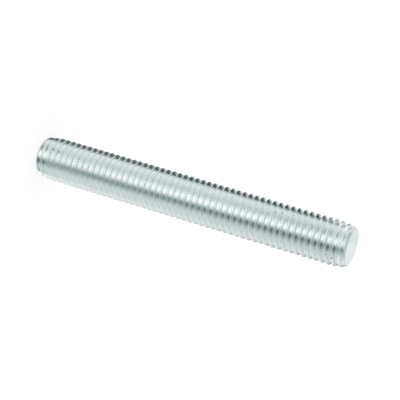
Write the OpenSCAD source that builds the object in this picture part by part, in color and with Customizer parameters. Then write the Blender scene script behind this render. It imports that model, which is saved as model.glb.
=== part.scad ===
// Metric threaded rod: one straight bar, threaded from end to end, with a
// flat face, a chamfer and a lead of lower, growing crests at both ends.
// It stands on its lower face, with its axis along +Z and z = 0 at that face.

/* [Rod] */
// Overall length, from face to face
rod_l = 92; // [20:1:200]
// How far the end faces stay inside the crests, measured along the radius
face_inset = 1.2; // [0.9:0.1:2.5]
// Angle between the end chamfer and the rod's axis
chamfer_angle = 45; // [30:1:60]
// Length over which the crests at each end grow to their full height
lead_l = 4.2; // [2:0.1:12]
// How much lower the very first crest is than a full one
lead_drop = 0.7; // [0.2:0.1:0.8]

/* [Thread] */
// Major diameter, over the crests
major_d = 12; // [8:0.5:30]
// Pitch, the rise of the thread in one turn
pitch = 1.75; // [0.8:0.05:2.5]
// Angle between the two flanks of one groove
flank_angle = 60; // [50:1:70]
// Angle round the rod, from +X, at which a crest meets the lower face
start_angle = 60; // [0:5:355]
// Most straight steps in which one turn of the thread is laid
most_steps = 24; // [12:4:32]

/* [Hidden] */

major_r = major_d / 2;

// Ridge and groove in a metric thread's proportions: the crest's flat is an
// eighth of the pitch, and the flat at the bottom of the groove a sixth.
crest_w = pitch / 8;
root_w = pitch / 6;
flank_w = (pitch - crest_w - root_w) / 2;
root_r = major_r - flank_w / tan(flank_angle / 2);

// Outline of the ridge, as [radius, height above the middle of its crest]
ridge = [
    [root_r, -crest_w / 2 - flank_w],
    [major_r, -crest_w / 2],
    [major_r, crest_w / 2],
    [root_r, crest_w / 2 + flank_w]
];
corners = len(ridge);

// The thread is wound past both faces before they are cut square: its first
// and last turns lie wholly outside the rod, by at least this much.
overrun = 0.1 * pitch;
wound_turns = (rod_l + 2 * overrun + root_w) / pitch + 1 + start_angle / 360;

// A long rod or a fine thread is laid in fewer steps a turn, so that it is no
// heavier than a short one. The steps are a multiple of four and counted from
// +X, so the crests reach the full diameter along both X and Y.
facet_budget = 11500;
facets_per_step = 2 * corners;
turn_steps = 4 * floor(min(most_steps, facet_budget / facets_per_step / wound_turns) / 4);
last_step = ceil(wound_turns * turn_steps) + 1;

// Steps wound before the one on +X from which the turning is measured
steps_below = ceil((1 + (overrun + ridge[0][1]) / pitch) * turn_steps);

// Where right-hand winding has carried a point of the ridge after some steps
function wound(point, step) =
    let (turned = 360 * (step - steps_below) / turn_steps)
    [
        point[0] * cos(turned),
        point[0] * sin(turned),
        point[1] + pitch * (turned - start_angle) / 360
    ];

// Number of the ridge's corner k, after some steps, in the list of points
function at(step, k) = step * corners + k;

// Endless thread: a bar of ridge and groove, closed by a cone at each end
module threaded_bar() {
    last_corner = corners - 1;
    last_turn = last_step - turn_steps;
    lower_tip = at(last_step + 1, 0);
    upper_tip = lower_tip + 1;

    points = [
        for (step = [0:last_step]) for (point = ridge) wound(point, step),
        [0, 0, wound(ridge[0], 0)[2]],
        [0, 0, wound(ridge[last_corner], last_step)[2]]
    ];
    ridge_faces = [
        for (step = [0:last_step - 1]) for (k = [0:last_corner - 1])
            [at(step, k), at(step, k + 1), at(step + 1, k + 1), at(step + 1, k)]
    ];
    groove_faces = [
        for (step = [0:last_turn - 1])
            [
                at(step, last_corner), at(step + turn_steps, 0),
                at(step + turn_steps + 1, 0), at(step + 1, last_corner)
            ]
    ];
    lower_cone = [
        for (step = [0:turn_steps - 1]) [lower_tip, at(step, 0), at(step + 1, 0)],
        [lower_tip, at(turn_steps, 0), for (k = [last_corner:-1:0]) at(0, k)]
    ];
    upper_cone = [
        for (step = [last_turn:last_step - 1])
            [upper_tip, at(step + 1, last_corner), at(step, last_corner)],
        [upper_tip, at(last_turn, last_corner), for (k = [0:last_corner]) at(last_step, k)]
    ];
    polyhedron(points, concat(ridge_faces, groove_faces, lower_cone, upper_cone), convexity = 10);
}

// The turned outline that both ends are cut to: face, chamfer, then lead. It
// goes on widening past the crests, so between the leads it cuts nothing.
module end_trim() {
    past_crests = 0.3;
    face_r = major_r - face_inset;
    lead_r = major_r - lead_drop;
    lead_slope = lead_drop / lead_l;
    chamfer_slope = tan(chamfer_angle);
    chamfer_l = (lead_r - face_r) / (chamfer_slope - lead_slope);
    clear_l = min(lead_l + past_crests / lead_slope, 0.45 * rod_l);
    lower_end = [
        [0, 0],
        [face_r, 0],
        [face_r + chamfer_l * chamfer_slope, chamfer_l],
        [lead_r + clear_l * lead_slope, clear_l]
    ];
    upper_end = [for (k = [len(lower_end) - 1:-1:0]) [lower_end[k][0], rod_l - lower_end[k][1]]];
    rotate_extrude($fn = 96) polygon(concat(lower_end, upper_end));
}

module rod() {
    color("silver")
        intersection() {
            threaded_bar();
            end_trim();
        }
}

rod();
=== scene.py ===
"""A zinc plated threaded rod, standing on its lower end face, in a plain pale studio."""

import math

import bmesh
import bpy
from mathutils import Matrix, Vector

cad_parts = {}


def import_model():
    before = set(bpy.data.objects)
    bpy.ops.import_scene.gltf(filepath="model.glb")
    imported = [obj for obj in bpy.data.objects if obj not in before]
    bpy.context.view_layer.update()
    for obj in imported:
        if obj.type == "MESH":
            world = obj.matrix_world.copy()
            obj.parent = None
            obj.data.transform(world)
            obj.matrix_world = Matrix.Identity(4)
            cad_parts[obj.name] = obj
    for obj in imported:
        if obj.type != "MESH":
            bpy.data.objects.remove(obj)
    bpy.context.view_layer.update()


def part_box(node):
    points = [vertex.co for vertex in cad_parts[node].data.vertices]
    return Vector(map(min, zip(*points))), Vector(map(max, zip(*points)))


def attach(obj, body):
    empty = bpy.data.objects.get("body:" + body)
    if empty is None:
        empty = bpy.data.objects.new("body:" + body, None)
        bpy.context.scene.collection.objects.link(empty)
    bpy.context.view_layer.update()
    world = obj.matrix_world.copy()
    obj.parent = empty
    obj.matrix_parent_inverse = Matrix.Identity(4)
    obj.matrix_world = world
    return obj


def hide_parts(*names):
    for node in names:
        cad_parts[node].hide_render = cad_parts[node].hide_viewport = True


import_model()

# ---------------------------------------------------------------- sizes, in millimetres

MM = 0.001
rod_low, rod_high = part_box("rod")
CREST_R = rod_high.x / MM
ROD_L = (rod_high.z - rod_low.z) / MM

# The thread's proportions are those of the metric profile, with its corners rounded.
PITCH = 1.75
FLANK_LEAN = math.radians(30)
CREST_W = PITCH / 8
ROOT_W = PITCH / 6
FLANK_W = (PITCH - CREST_W - ROOT_W) / 2
ROOT_R = CREST_R - FLANK_W / math.tan(FLANK_LEAN)
CREST_ROUNDING = 0.1
ROOT_ROUNDING = 0.144
CORNER_SEGMENTS = 3
TURN_STEPS = 80
START_ANGLE = math.radians(60)

# The bar is wound some turns past both ends, and cut off this far past the end faces.
SPARE_TURNS = 2
SPARE_L = 0.4

# The ends: a flat face, a chamfer, and a lead of lower crests. The trim that cuts them widens on
# along the lead until it is clear of the crests.
FACE_R = CREST_R - 1.2
LEAD_R = CREST_R - 0.7
LEAD_L = 4.2
LEAD_SLOPE = (CREST_R - LEAD_R) / LEAD_L
CHAMFER_L = (LEAD_R - FACE_R) / (1 - LEAD_SLOPE)
CLEAR_R = CREST_R + 0.3
CLEAR_L = (CLEAR_R - LEAD_R) / LEAD_SLOPE
END_SIDES = 128
RIM_ROUNDING = 0.1
RIM_SEGMENTS = 2

# Small dents knocked into the crests: angle round the rod from +X in degrees, height, depth.
NICKS = (
    (-113.6, 4.5, 0.18), (-112.3, 6.4, 0.16), (-37.6, 31.8, 0.2), (-122.1, 71.2, 0.18),
    (-126.2, 73.0, 0.16), (-45.5, 88.5, 0.2)
)

# NICK_R is how far a nick's middle lies from the axis, NICK_REACH how far its dent and its scuffed
# metal go, and SCUFF_HEART how far the metal is wholly scuffed. The faces within NICK_DIVIDED are
# divided, and then pushed in by steps, each a share of the reach and of the depth.
NICK_R = 5.7
NICK_REACH = 0.5
SCUFF_HEART = 0.2
NICK_DIVIDED = 0.9
NICK_CUTS = 3
NICK_STEPS = ((1.0, 0.2), (0.7, 0.4), (0.4, 0.4))

# Points within NEAR of a place count as being there, and points within MERGED of each other merge.
NEAR = 1e-3
MERGED = 1e-4

# Edges bent by less than SMOOTH_ANGLE are shaded smooth. Areas within SAME_AREA weigh the same.
SMOOTH_ANGLE = math.radians(32)
SAME_AREA = 1e-4

# A face whose normal is this close to upright is a flat end face.
END_FACING = 0.99

# ---------------------------------------------------------------- settings of finish and studio

# Colours of the zinc. The groove colour is darker and greener than the crest colour: painted shade in
# the grooves.
CREST_ZINC = (0.8, 0.85, 0.85, 1)
GROOVE_ZINC_PAINTED_SHADE = (0.75, 0.81, 0.805, 1)
DULL_ZINC = (0.68, 0.74, 0.74, 1)
GREENISH_ZINC = (0.73, 0.8, 0.79, 1)
PALE_ZINC = (0.85, 0.895, 0.895, 1)
SATIN_ZINC = (0.78, 0.83, 0.83, 1)
SCUFFED_ZINC = (0.42, 0.49, 0.48, 1)

# Patterns in the zinc, in millimetres: the width and the length of streaks, the sizes of patches and
# of grain, the depth of each relief, and how many rings the cutting tool leaves to a millimetre.
FINE_STREAKS = (0.22, 4.0)
BROAD_STREAKS = (0.8, 3.0)
THREAD_PATCHES = 2.2
THREAD_GRAIN = 0.16
END_PATCHES = 3.0
END_GRAIN = 0.3
BROAD_RELIEF = 0.014
FINE_RELIEF = 0.0015
RING_RELIEF = 0.006
GRAIN_RELIEF = 0.003
RINGS = 2.4

# The radius, as a share of the pitch, of a circle as long as a ridge's outline, and how far the
# streaks shift from one turn of the thread to the next.
RIDGE_OUTLINE = CREST_W + ROOT_W + 2 * FLANK_W / math.sin(FLANK_LEAN)
RIDGE_CIRCLE = RIDGE_OUTLINE / (2 * math.pi * PITCH)
TURN_SHIFT = 1.3

# The least and the most roughness of the thread and of the ends, and what a scuff adds.
THREAD_ROUGHNESS = (0.1, 0.18)
END_ROUGHNESS = (0.27, 0.37)
SCUFF_ROUGHNESS = 0.2

# The camera: its lens, how far it looks down and how far it is rolled, and where the middle of the
# upper end face lies from it: to its right, above it and behind it, in millimetres.
LENS = 131.4
LOOKING_DOWN = math.radians(20.96)
ROLL = math.radians(90 + 16.61)
FACE_FROM_CAMERA = Vector((39.03, -12.21, -375.16))

# The floor and the lamp, in metres and watts, the floor's colour, and how far it looks plain white.
FLOOR_SIZE = 8
FLOOR_COLOUR = (0.9, 0.9, 0.9, 1)
FLOOR_WHITE = 0.8
LAMP_SIZE = 1.2
LAMP_HEIGHT = 1.5
LAMP_POWER = 6

# The card, in millimetres: how far it is from the rod's axis along X and along Y, its size, its
# foot, how far above its foot it is fully white, and its light.
CARD_AWAY = 6.5
CARD_WIDTH = 16
CARD_HEIGHT = 24
CARD_FOOT = 86.1
CARD_FADE = 6
CARD_LIGHT = 0.88

# The room that the metal reflects: how bright it is, and the soft panels in it. A panel has the
# angle that it stands at round the rod, from the viewer towards +X, and its width, both in degrees,
# its height, from -1 straight below the rod to 1 straight above it, its depth on the same scale, and
# how much brighter or dimmer than the room it is.
ROOM_LEVEL = 0.8
PANELS = (
    ("wide band low in front", -31, 118, -0.21, 0.20, 1.30),
    ("dim middle of the wide band", -17, 112, -0.25, 0.16, -0.75),
    ("wide band lower in front", 8, 98, -0.47, 0.16, 1.30),
    ("dim band low on the right", 97, 120, -0.51, 0.14, -1.05),
    ("dim band high in front", 3, 95, 0.75, 0.14, -0.80),
    ("dark screen left of the viewer", -27, 42, -0.46, 0.76, -1.30),
    ("dark screen right of the viewer", 35, 26, -0.45, 0.78, -0.80),
    ("light above the left screen", -24, 42, 0.20, 0.20, 1.20),
    ("strip across the left screen", -14, 30, -0.25, 0.14, 1.80),
    ("strip low across the left screen", -6, 29, -0.65, 0.14, 1.80),
    ("small strip low on the left", -36, 24, -0.55, 0.15, 0.65),
    ("dark screen behind, on the left", -135, 15, -0.30, 0.26, -1.20),
    ("dark screen behind the rod", -159, 20, 0.21, 0.57, -1.30),
    ("light right behind the rod", -178, 32, 0.17, 0.26, 1.10),
    ("dark screen beside that light", 166, 11, 0.00, 0.60, -1.05),
    ("grey screen behind, on the right", 154, 14, -0.44, 1.15, -0.20),
    ("strip low behind, on the right", 146, 22, -0.52, 0.14, 1.75),
    ("pale light on the right", 115, 30, 0.49, 0.35, 0.30),
)

# The room's tint at a brightness, from dim to bright, and the brightest that is told apart.
ROOM_TINTS = ((0.3, (0.87, 1.03, 1.03, 1)), (1.0, (1, 1, 1, 1)), (1.6, (1.06, 0.99, 0.98, 1)))
BRIGHTEST = 2


# ---------------------------------------------------------------- working by hand

def deselect_all():
    for obj in list(bpy.context.selected_objects):
        obj.select_set(False)


def take_up(obj):
    """Makes obj the only selected object, and the active one."""
    deselect_all()
    obj.select_set(True)
    bpy.context.view_layer.objects.active = obj


def start_edit(obj, kind="VERT"):
    take_up(obj)
    bpy.ops.object.mode_set(mode="EDIT")
    bpy.ops.mesh.select_mode(type=kind)
    bpy.ops.mesh.select_all(action="DESELECT")


def end_edit():
    bpy.ops.object.mode_set(mode="OBJECT")


def pick(obj, parts, wanted):
    """Selects just those vertices, edges or faces of the mesh in edit mode that are wanted."""
    bm = bmesh.from_edit_mesh(obj.data)
    for kind in (bm.faces, bm.edges, bm.verts):
        for part in kind:
            part.select = False
    for part in getattr(bm, parts):
        if wanted(part):
            part.select_set(True)
    bmesh.update_edit_mesh(obj.data)


def apply_modifier(obj, kind, **settings):
    take_up(obj)
    modifier = obj.modifiers.new(kind.title(), kind)
    for name, value in settings.items():
        setattr(modifier, name, value)
    bpy.ops.object.modifier_apply(modifier=modifier.name)


def weld(obj):
    """Merges the points that lie as good as at the same place."""
    start_edit(obj)
    bpy.ops.mesh.select_all(action="SELECT")
    bpy.ops.mesh.remove_doubles(threshold=MERGED)
    end_edit()


# ---------------------------------------------------------------- the thread

def groove_line():
    """A straight line one pitch long, at the bottom of the grooves."""
    middle = ROOT_R + PITCH / 2
    deselect_all()
    bpy.ops.mesh.primitive_plane_add(
        size=PITCH, location=(middle, 0, 0), rotation=(math.pi / 2, 0, 0)
    )
    line = bpy.context.object
    bpy.ops.object.transform_apply(location=True, rotation=True, scale=True)
    start_edit(line)
    pick(line, "verts", lambda v: v.co.x > middle)
    bpy.ops.mesh.delete(type="VERT")
    end_edit()
    return line


def ridge_corners():
    """Radius and height of a ridge's corners, from its lower foot to its upper one."""
    half_crest = CREST_W / 2
    half_ridge = half_crest + FLANK_W
    return [
        (ROOT_R, -half_ridge), (CREST_R, -half_crest), (CREST_R, half_crest), (ROOT_R, half_ridge)
    ]


def thread_outline():
    """One pitch of the thread's outline, from the middle of a groove to the middle of the next."""
    outline = groove_line()
    corners = ridge_corners()
    start_edit(outline)
    bpy.ops.mesh.select_all(action="SELECT")
    bpy.ops.mesh.subdivide(number_cuts=len(corners))
    for number, (radius, place) in enumerate(corners, 1):
        height = PITCH * (number / (len(corners) + 1) - 0.5)
        pick(outline, "verts", lambda v: abs(v.co.z - height) < NEAR and abs(v.co.x - ROOT_R) < NEAR)
        bpy.ops.transform.translate(value=(radius - ROOT_R, 0, place - height))
    for radius, rounding in ((CREST_R, CREST_ROUNDING), (ROOT_R, ROOT_ROUNDING)):
        pick(
            outline, "verts",
            lambda v: abs(v.co.x - radius) < NEAR and abs(v.co.z) < PITCH / 2 - NEAR
        )
        bpy.ops.mesh.bevel(offset=rounding, segments=CORNER_SEGMENTS, affect="VERTICES")
    end_edit()
    return outline


def wound_bar():
    """The outline wound up past both ends, and cut square there."""
    bar = thread_outline()
    first_height = PITCH * (0.5 - SPARE_TURNS)
    take_up(bar)
    bar.location.z = first_height
    bar.rotation_euler.z = START_ANGLE + 2 * math.pi * first_height / PITCH
    bpy.ops.object.transform_apply(location=True, rotation=True, scale=True)
    apply_modifier(
        bar, "SCREW", axis="Z", angle=2 * math.pi, screw_offset=PITCH,
        iterations=math.ceil(ROD_L / PITCH) + 2 * SPARE_TURNS,
        steps=TURN_STEPS, render_steps=TURN_STEPS, use_smooth_shade=True
    )
    weld(bar)
    start_edit(bar)
    for height, upwards in ((-SPARE_L, -1), (ROD_L + SPARE_L, 1)):
        bpy.ops.mesh.select_all(action="SELECT")
        bpy.ops.mesh.bisect(
            plane_co=(0, 0, height), plane_no=(0, 0, upwards), use_fill=True, clear_outer=True
        )
    bpy.ops.mesh.select_all(action="SELECT")
    bpy.ops.mesh.normals_make_consistent(inside=False)
    end_edit()
    return bar


def draw_out_end(upwards):
    """Draws the selected end of the trim out to the chamfer, and on to the face."""
    radius, depth = CLEAR_R, CLEAR_L
    for next_radius, next_depth in ((FACE_R + CHAMFER_L, CHAMFER_L), (FACE_R, 0)):
        bpy.ops.mesh.extrude_region_move(
            TRANSFORM_OT_translate={"value": (0, 0, upwards * (depth - next_depth))}
        )
        bpy.ops.transform.resize(value=(next_radius / radius, next_radius / radius, 1))
        radius, depth = next_radius, next_depth


def end_trim():
    """The turned outline of the blank: it widens from each face to past the crests."""
    deselect_all()
    bpy.ops.mesh.primitive_cylinder_add(
        vertices=END_SIDES, radius=CLEAR_R, depth=ROD_L - 2 * CLEAR_L, location=(0, 0, ROD_L / 2)
    )
    trim = bpy.context.object
    bpy.ops.object.transform_apply(location=True, rotation=True, scale=True)
    start_edit(trim, "FACE")
    for upwards in (-1, 1):
        pick(trim, "faces", lambda f: f.normal.z * upwards > END_FACING)
        draw_out_end(upwards)
    bpy.ops.mesh.select_mode(type="EDGE")
    pick(trim, "edges", lambda e: all(abs(v.co.xy.length - FACE_R) < NEAR for v in e.verts))
    bpy.ops.mesh.bevel(offset=RIM_ROUNDING, segments=RIM_SEGMENTS, affect="EDGES")
    end_edit()
    return trim


def outwards_at(degrees):
    """The direction away from the axis, at an angle round the rod from +X."""
    return Matrix.Rotation(math.radians(degrees), 3, "Z") @ Vector((1, 0, 0))


def knock_nicks(rod):
    """Small dents: the faces round each spot are divided, and its points pushed inwards."""
    start_edit(rod, "FACE")
    for degrees, height, deepest in NICKS:
        outwards = outwards_at(degrees)
        spot = outwards * NICK_R + Vector((0, 0, height))
        pick(rod, "faces", lambda f: (f.calc_center_median() - spot).length < NICK_DIVIDED)
        bpy.ops.mesh.subdivide(number_cuts=NICK_CUTS)
        for reach, share in NICK_STEPS:
            pick(rod, "verts", lambda v: (v.co - spot).length < NICK_REACH * reach)
            bpy.ops.transform.translate(value=outwards * (-deepest * share))
    end_edit()


def shade_thread(rod):
    """Smooth, and weighed by area, so that a flank keeps its own slope up to its rounded corners."""
    take_up(rod)
    bpy.ops.object.shade_smooth_by_angle(angle=SMOOTH_ANGLE)
    apply_modifier(
        rod, "WEIGHTED_NORMAL", mode="FACE_AREA", keep_sharp=True, thresh=SAME_AREA
    )


def threaded_rod():
    """The wound bar, trimmed to the blank's outline and dented, at its real size."""
    rod = wound_bar()
    trim = end_trim()
    apply_modifier(rod, "BOOLEAN", object=trim, operation="INTERSECT", solver="EXACT")
    bpy.data.objects.remove(trim)
    weld(rod)
    knock_nicks(rod)
    shade_thread(rod)
    rod.scale = (MM, MM, MM)
    bpy.ops.object.transform_apply(location=True, rotation=True, scale=True)
    rod.name = "threaded_rod"
    rod.data.name = "threaded_rod"
    return rod


# ---------------------------------------------------------------- node building

def add_node(tree, kind, **settings):
    node = tree.nodes.new("ShaderNode" + kind)
    for name, value in settings.items():
        setattr(node, name, value)
    return node


def feed(tree, socket, value):
    """Links another node's output to a socket, or sets the socket to a plain value."""
    if isinstance(value, bpy.types.NodeSocket):
        tree.links.new(value, socket)
    else:
        socket.default_value = value


def calculate(tree, operation, *values):
    node = add_node(tree, "Math", operation=operation)
    for socket, value in zip(node.inputs, values):
        feed(tree, socket, value)
    return node.outputs[0]


def rescale(tree, value, low, high, new_low, new_high):
    """Turns the range low to high of a value into new_low to new_high, and holds it inside that."""
    node = add_node(tree, "MapRange")
    for socket, setting in zip(node.inputs, (value, low, high, new_low, new_high)):
        feed(tree, socket, setting)
    return node.outputs[0]


def noise(tree, scale, detail, vector=None, fourth=None):
    """Noise over a vector, over a single value given as the fourth dimension, or over both."""
    dimensions = "3D" if fourth is None else "1D" if vector is None else "4D"
    node = add_node(tree, "TexNoise", noise_dimensions=dimensions)
    if vector is not None:
        feed(tree, node.inputs["Vector"], vector)
    if fourth is not None:
        feed(tree, node.inputs["W"], fourth)
    feed(tree, node.inputs["Scale"], scale)
    feed(tree, node.inputs["Detail"], detail)
    return node.outputs["Fac"]


def blend_colours(tree, share, first, second):
    node = add_node(tree, "Mix", data_type="RGBA")
    factor = [socket for socket in node.inputs if socket.name == "Factor"][0]
    inner, outer = [socket for socket in node.inputs if socket.type == "RGBA"]
    feed(tree, factor, share)
    feed(tree, inner, first)
    feed(tree, outer, second)
    return [socket for socket in node.outputs if socket.type == "RGBA"][0]


def tint(tree, shade, colour, mask, low, high, most):
    """Turns a shade towards a colour, by up to most, as a mask goes from low to high."""
    return blend_colours(tree, rescale(tree, mask, low, high, 0.0, most), shade, colour)


def mix_shaders(tree, share, first, second):
    """Gives a material's surface a mix of two shaders."""
    mix = add_node(tree, "MixShader")
    for socket, value in zip(mix.inputs, (share, first.outputs[0], second.outputs[0])):
        feed(tree, socket, value)
    feed(tree, tree.nodes["Material Output"].inputs["Surface"], mix.outputs[0])


def new_material(name):
    material = bpy.data.materials.new(name)
    material.use_nodes = True
    return material, material.node_tree


def new_group(name, inputs, outputs):
    """An empty node group. An input called Place is a vector, and all other sockets are numbers."""
    group = bpy.data.node_groups.new(name, "ShaderNodeTree")
    for label in inputs:
        kind = "NodeSocketVector" if label == "Place" else "NodeSocketFloat"
        group.interface.new_socket(label, in_out="INPUT", socket_type=kind)
    for label in outputs:
        group.interface.new_socket(label, in_out="OUTPUT", socket_type="NodeSocketFloat")
    entry = group.nodes.new("NodeGroupInput")
    result = group.nodes.new("NodeGroupOutput")
    return group, entry.outputs, result.inputs


def place_group(tree, group, **values):
    """Places a group; a value's name is its socket's, with _ for each space."""
    node = add_node(tree, "Group", node_tree=group)
    for name, value in values.items():
        feed(tree, node.inputs[name.replace("_", " ")], value)
    return node.outputs


# ---------------------------------------------------------------- finish

def rolled_streaks():
    """Node group: streaks that the rolling dies leave, which run along the winding thread.

    Place is in millimetres. Going round the outline of a ridge is taken as going round a small
    circle, so that the pattern closes from one ridge to the next, and neither jumps nor repeats
    where the thread has gone once round the rod.
    """
    group, given, result = new_group(
        "rolled_streaks", ("Place", "Pitch", "Streak Width", "Streak Length"), ("Streaks",)
    )
    parts = add_node(group, "SeparateXYZ")
    feed(group, parts.inputs[0], given["Place"])
    x, y, z = parts.outputs
    turned = calculate(group, "ARCTAN2", y, x)
    risen = calculate(group, "DIVIDE", z, given["Pitch"])
    round_ridge = calculate(group, "MULTIPLY", risen, 2 * math.pi)
    round_ridge = calculate(group, "SUBTRACT", round_ridge, turned)
    reach = calculate(group, "MULTIPLY", given["Pitch"], RIDGE_CIRCLE)
    reach = calculate(group, "DIVIDE", reach, given["Streak Width"])
    across = calculate(group, "MULTIPLY", calculate(group, "COSINE", round_ridge), reach)
    up = calculate(group, "MULTIPLY", calculate(group, "SINE", round_ridge), reach)
    along_x = calculate(group, "DIVIDE", x, given["Streak Length"])
    along_y = calculate(group, "DIVIDE", y, given["Streak Length"])
    vector = add_node(group, "CombineXYZ")
    for socket, value in zip(vector.inputs, (across, up, along_x)):
        feed(group, socket, value)
    fourth = calculate(group, "MULTIPLY_ADD", risen, TURN_SHIFT, along_y)
    feed(group, result["Streaks"], noise(group, 1.0, 2.0, vector.outputs[0], fourth))
    return group


def plating_variation():
    """Node group: cloudy patches and fine grain in the zinc layer. Place is in millimetres."""
    group, given, result = new_group(
        "plating_variation", ("Place", "Patch Size", "Grain Size"), ("Patches", "Grain")
    )
    for size, output, detail in (("Patch Size", "Patches", 3.0), ("Grain Size", "Grain", 1.0)):
        scale = calculate(group, "DIVIDE", 1, given[size])
        feed(group, result[output], noise(group, scale, detail, given["Place"]))
    return group


def place_in_millimetres(tree):
    coordinates = add_node(tree, "TexCoord")
    in_mm = add_node(tree, "VectorMath", operation="SCALE")
    feed(tree, in_mm.inputs[0], coordinates.outputs["Object"])
    feed(tree, in_mm.inputs["Scale"], 1 / MM)
    return in_mm.outputs[0]


def distance_from_axis(tree, place):
    flat = add_node(tree, "VectorMath", operation="MULTIPLY")
    feed(tree, flat.inputs[0], place)
    feed(tree, flat.inputs[1], (1, 1, 0))
    length = add_node(tree, "VectorMath", operation="LENGTH")
    feed(tree, length.inputs[0], flat.outputs[0])
    return length.outputs["Value"]


def relief(tree, height, depth, beneath=None):
    """A bump from a height of 0 to 1, that many millimetres deep, on top of another's normal."""
    bump = add_node(tree, "Bump")
    feed(tree, bump.inputs["Strength"], 1.0)
    feed(tree, bump.inputs["Distance"], depth * MM)
    feed(tree, bump.inputs["Height"], height)
    if beneath is not None:
        feed(tree, bump.inputs["Normal"], beneath)
    return bump.outputs["Normal"]


def scuffs(tree, place):
    """A mask from 0 to 1 for the dulled metal in and close round the nicks."""
    nearest = NICK_REACH
    for degrees, height, _ in NICKS:
        spot = outwards_at(degrees) * NICK_R + Vector((0, 0, height))
        distance = add_node(tree, "VectorMath", operation="DISTANCE")
        feed(tree, distance.inputs[0], place)
        feed(tree, distance.inputs[1], spot)
        nearest = calculate(tree, "MINIMUM", distance.outputs["Value"], nearest)
    return rescale(tree, nearest, SCUFF_HEART, NICK_REACH, 1.0, 0.0)


def streaks(tree, group, place, size):
    width, length = size
    return place_group(
        tree, group, Place=place, Pitch=PITCH, Streak_Width=width, Streak_Length=length
    )["Streaks"]


def bare_zinc(name):
    """A new metal material, with its node tree and its shader."""
    material, tree = new_material(name)
    shader = tree.nodes["Principled BSDF"]
    shader.inputs["Metallic"].default_value = 1
    return material, tree, shader


def thread_plating(streak_group, variation_group):
    """Bright zinc on the rolled thread, with painted shade that makes it greyer and greener in the
    grooves than on the crests.
    """
    material, tree, shader = bare_zinc("bright_zinc_thread")
    place = place_in_millimetres(tree)
    depth = rescale(tree, distance_from_axis(tree, place), ROOT_R, CREST_R, 1.0, 0.0)
    fine = streaks(tree, streak_group, place, FINE_STREAKS)
    broad = streaks(tree, streak_group, place, BROAD_STREAKS)
    plating = place_group(
        tree, variation_group, Place=place, Patch_Size=THREAD_PATCHES, Grain_Size=THREAD_GRAIN
    )
    scuffed = scuffs(tree, place)

    # Painted shade: the colour turns from the crest colour to the darker groove colour towards the
    # bottom of the grooves.
    shade = blend_colours(tree, depth, CREST_ZINC, GROOVE_ZINC_PAINTED_SHADE)
    shade = tint(tree, shade, DULL_ZINC, fine, low=0.4, high=0.7, most=0.4)
    shade = tint(tree, shade, GREENISH_ZINC, plating["Patches"], low=0.4, high=0.7, most=0.35)
    shade = tint(tree, shade, DULL_ZINC, plating["Grain"], low=0.62, high=0.8, most=0.35)
    shade = blend_colours(tree, scuffed, shade, SCUFFED_ZINC)
    feed(tree, shader.inputs["Base Color"], shade)

    haze = calculate(tree, "ADD", plating["Patches"], fine)
    roughness = rescale(tree, haze, 0.7, 1.3, *THREAD_ROUGHNESS)
    roughness = calculate(tree, "MULTIPLY_ADD", scuffed, SCUFF_ROUGHNESS, roughness)
    feed(tree, shader.inputs["Roughness"], roughness)

    normal = relief(tree, broad, BROAD_RELIEF)
    normal = relief(tree, fine, FINE_RELIEF, normal)
    feed(tree, shader.inputs["Normal"], normal)
    return material


def cut_end_plating(variation_group):
    """Satin zinc on the sawn end faces, with the faint rings of the cutting tool."""
    material, tree, shader = bare_zinc("satin_zinc_cut_end")
    place = place_in_millimetres(tree)
    plating = place_group(
        tree, variation_group, Place=place, Patch_Size=END_PATCHES, Grain_Size=END_GRAIN
    )
    wander = calculate(tree, "MULTIPLY", plating["Patches"], 0.5)
    radius = calculate(tree, "ADD", distance_from_axis(tree, place), wander)
    rings = noise(tree, RINGS, 3.0, fourth=radius)

    shade = tint(tree, PALE_ZINC, SATIN_ZINC, rings, low=0.3, high=0.7, most=0.5)
    shade = tint(tree, shade, SATIN_ZINC, plating["Patches"], low=0.4, high=0.7, most=0.4)
    feed(tree, shader.inputs["Base Color"], shade)
    roughness = rescale(tree, plating["Grain"], 0.3, 0.7, *END_ROUGHNESS)
    feed(tree, shader.inputs["Roughness"], roughness)

    normal = relief(tree, rings, RING_RELIEF)
    normal = relief(tree, plating["Grain"], GRAIN_RELIEF, normal)
    feed(tree, shader.inputs["Normal"], normal)
    return material


def finish_rod(rod):
    """The thread's plating all over, and the cut ends' plating on the two flat end faces."""
    variation_group = plating_variation()
    rod.data.materials.clear()
    rod.data.materials.append(thread_plating(rolled_streaks(), variation_group))
    rod.data.materials.append(cut_end_plating(variation_group))
    for face in rod.data.polygons:
        face.material_index = 1 if abs(face.normal.z) > END_FACING else 0


# ---------------------------------------------------------------- studio

def camera():
    """Long lens, looking down on the rod and rolled, so that the rod lies slanted across the view."""
    lens = bpy.data.cameras.new("camera")
    lens.sensor_width = 36
    lens.lens = LENS
    lens.clip_end = 20
    eye = bpy.data.objects.new("camera", lens)
    bpy.context.scene.collection.objects.link(eye)
    turn = Matrix.Rotation(math.pi / 2 - LOOKING_DOWN, 4, "X") @ Matrix.Rotation(ROLL, 4, "Z")
    face = Vector((0, 0, ROD_L))
    eye.matrix_world = Matrix.Translation((face - turn @ FACE_FROM_CAMERA) * MM) @ turn
    bpy.context.scene.camera = eye


def pale_floor():
    """Matt paper that the viewer sees as nearly plain white."""
    material, tree = new_material("pale_floor")
    paper = tree.nodes["Principled BSDF"]
    paper.inputs["Base Color"].default_value = FLOOR_COLOUR
    paper.inputs["Roughness"].default_value = 1
    rays = add_node(tree, "LightPath")
    share = calculate(tree, "MULTIPLY", rays.outputs["Is Camera Ray"], FLOOR_WHITE)
    mix_shaders(tree, share, paper, add_node(tree, "Emission"))
    return material


def floor():
    """A pale sheet, lit from right above, so that the rod's shadow stays close to its foot."""
    deselect_all()
    bpy.ops.mesh.primitive_plane_add(size=FLOOR_SIZE, location=(0, 0, 0))
    ground = bpy.context.object
    ground.name = "studio_floor"
    ground.visible_glossy = False
    ground.data.materials.append(pale_floor())


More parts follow.
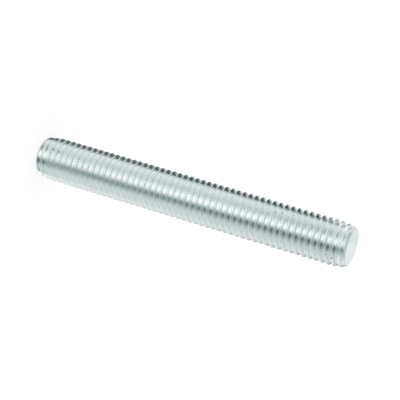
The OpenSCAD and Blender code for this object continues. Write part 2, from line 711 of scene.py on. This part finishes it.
def lamp():
    """A round soft lamp straight above, which is seen only by its light."""
    shade = bpy.data.lights.new("overhead_lamp", "AREA")
    shade.shape = "DISK"
    shade.size = LAMP_SIZE
    shade.energy = LAMP_POWER
    head = bpy.data.objects.new("overhead_lamp", shade)
    head.location = (0, 0, LAMP_HEIGHT)
    head.visible_glossy = False
    head.visible_camera = False
    bpy.context.scene.collection.objects.link(head)


def white_card():
    """Plain light, clear at the card's foot and white from CARD_FADE above it."""
    material, tree = new_material("white_card")
    tree.nodes.remove(tree.nodes["Principled BSDF"])
    white = add_node(tree, "Emission")
    white.inputs["Strength"].default_value = CARD_LIGHT
    height = add_node(tree, "SeparateXYZ")
    feed(tree, height.inputs[0], place_in_millimetres(tree))
    cover = rescale(tree, height.outputs["Z"], CARD_FOOT, CARD_FOOT + CARD_FADE, 0.0, 1.0)
    mix_shaders(tree, cover, add_node(tree, "BsdfTransparent"), white)
    return material


def small_card():
    """A little white card close behind the upper end, seen only in the metal's reflections.

    It turns white over its lowest part, so that it has no edge there.
    """
    deselect_all()
    bpy.ops.mesh.primitive_plane_add(
        size=1, rotation=(math.pi / 2, 0, math.radians(45)),
        location=(-CARD_AWAY * MM, CARD_AWAY * MM, (CARD_FOOT + CARD_HEIGHT / 2) * MM)
    )
    card = bpy.context.object
    card.name = "small_white_card"
    card.scale = (CARD_WIDTH * MM, CARD_HEIGHT * MM, 1)
    bpy.ops.object.transform_apply(location=True, rotation=True, scale=True)
    card.visible_camera = False
    card.visible_diffuse = False
    card.visible_shadow = False
    card.data.materials.append(white_card())


def soft_panel():
    """Node group: how much of a soft panel of the studio lies in a direction.

    The panel is centred on an angle round the rod and on a height, from -1 straight below the rod
    to 1 straight above it, and fades out over its width and its depth.
    """
    group, given, result = new_group(
        "soft_panel",
        ("Angle", "Height", "Panel Angle", "Panel Width", "Panel Height", "Panel Depth"),
        ("Cover",)
    )
    off_angle = calculate(group, "SUBTRACT", given["Angle"], given["Panel Angle"])
    off_angle = calculate(group, "WRAP", off_angle, math.pi, -math.pi)
    across = calculate(group, "DIVIDE", off_angle, given["Panel Width"])
    off_height = calculate(group, "SUBTRACT", given["Height"], given["Panel Height"])
    upright = calculate(group, "DIVIDE", off_height, given["Panel Depth"])
    across = calculate(group, "POWER", across, 2)
    spread = calculate(group, "ADD", across, calculate(group, "POWER", upright, 2))
    cover = calculate(group, "EXPONENT", calculate(group, "MULTIPLY", spread, -1))
    feed(group, result["Cover"], cover)
    return group


def room_level(tree):
    """How bright the room is in each direction: its own level with every panel added."""
    direction = add_node(tree, "TexCoord")
    parts = add_node(tree, "SeparateXYZ")
    feed(tree, parts.inputs[0], direction.outputs["Generated"])
    x, y, z = parts.outputs
    angle = calculate(tree, "ARCTAN2", x, calculate(tree, "MULTIPLY", y, -1))
    panel_group = soft_panel()
    level = ROOM_LEVEL
    for name, turned, width, height, depth, light in PANELS:
        cover = place_group(
            tree, panel_group, Angle=angle, Height=z, Panel_Angle=math.radians(turned),
            Panel_Width=math.radians(width), Panel_Height=height, Panel_Depth=depth
        )["Cover"]
        cover.node.label = name
        level = calculate(tree, "MULTIPLY_ADD", cover, light, level)
    return calculate(tree, "MAXIMUM", level, 0)


def room_colour(tree, level):
    """The level as a colour: a little greenish where it is dim, and a little warm where bright."""
    tints = add_node(tree, "ValToRGB")
    tints.color_ramp.elements.new(0.5)
    for stop, (brightness, colour) in zip(tints.color_ramp.elements, ROOM_TINTS):
        stop.position = brightness / BRIGHTEST
        stop.color = colour
    feed(tree, tints.inputs[0], calculate(tree, "DIVIDE", level, BRIGHTEST))
    lit = add_node(tree, "VectorMath", operation="SCALE")
    feed(tree, lit.inputs[0], tints.outputs["Color"])
    feed(tree, lit.inputs["Scale"], level)
    return lit.outputs[0]


def world():
    """White to look at; in the metal, a pale room with soft brighter and dimmer panels round it."""
    sky = bpy.data.worlds.new("studio")
    bpy.context.scene.world = sky
    sky.use_nodes = True
    tree = sky.node_tree
    room = room_colour(tree, room_level(tree))
    rays = add_node(tree, "LightPath")
    seen = blend_colours(tree, rays.outputs["Is Glossy Ray"], (1, 1, 1, 1), room)
    feed(tree, tree.nodes["Background"].inputs["Color"], seen)


rod = threaded_rod()
finish_rod(rod)
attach(rod, "root")
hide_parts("rod")
camera()
floor()
lamp()
small_card()
world()
bpy.context.scene.view_settings.view_transform = "Standard"
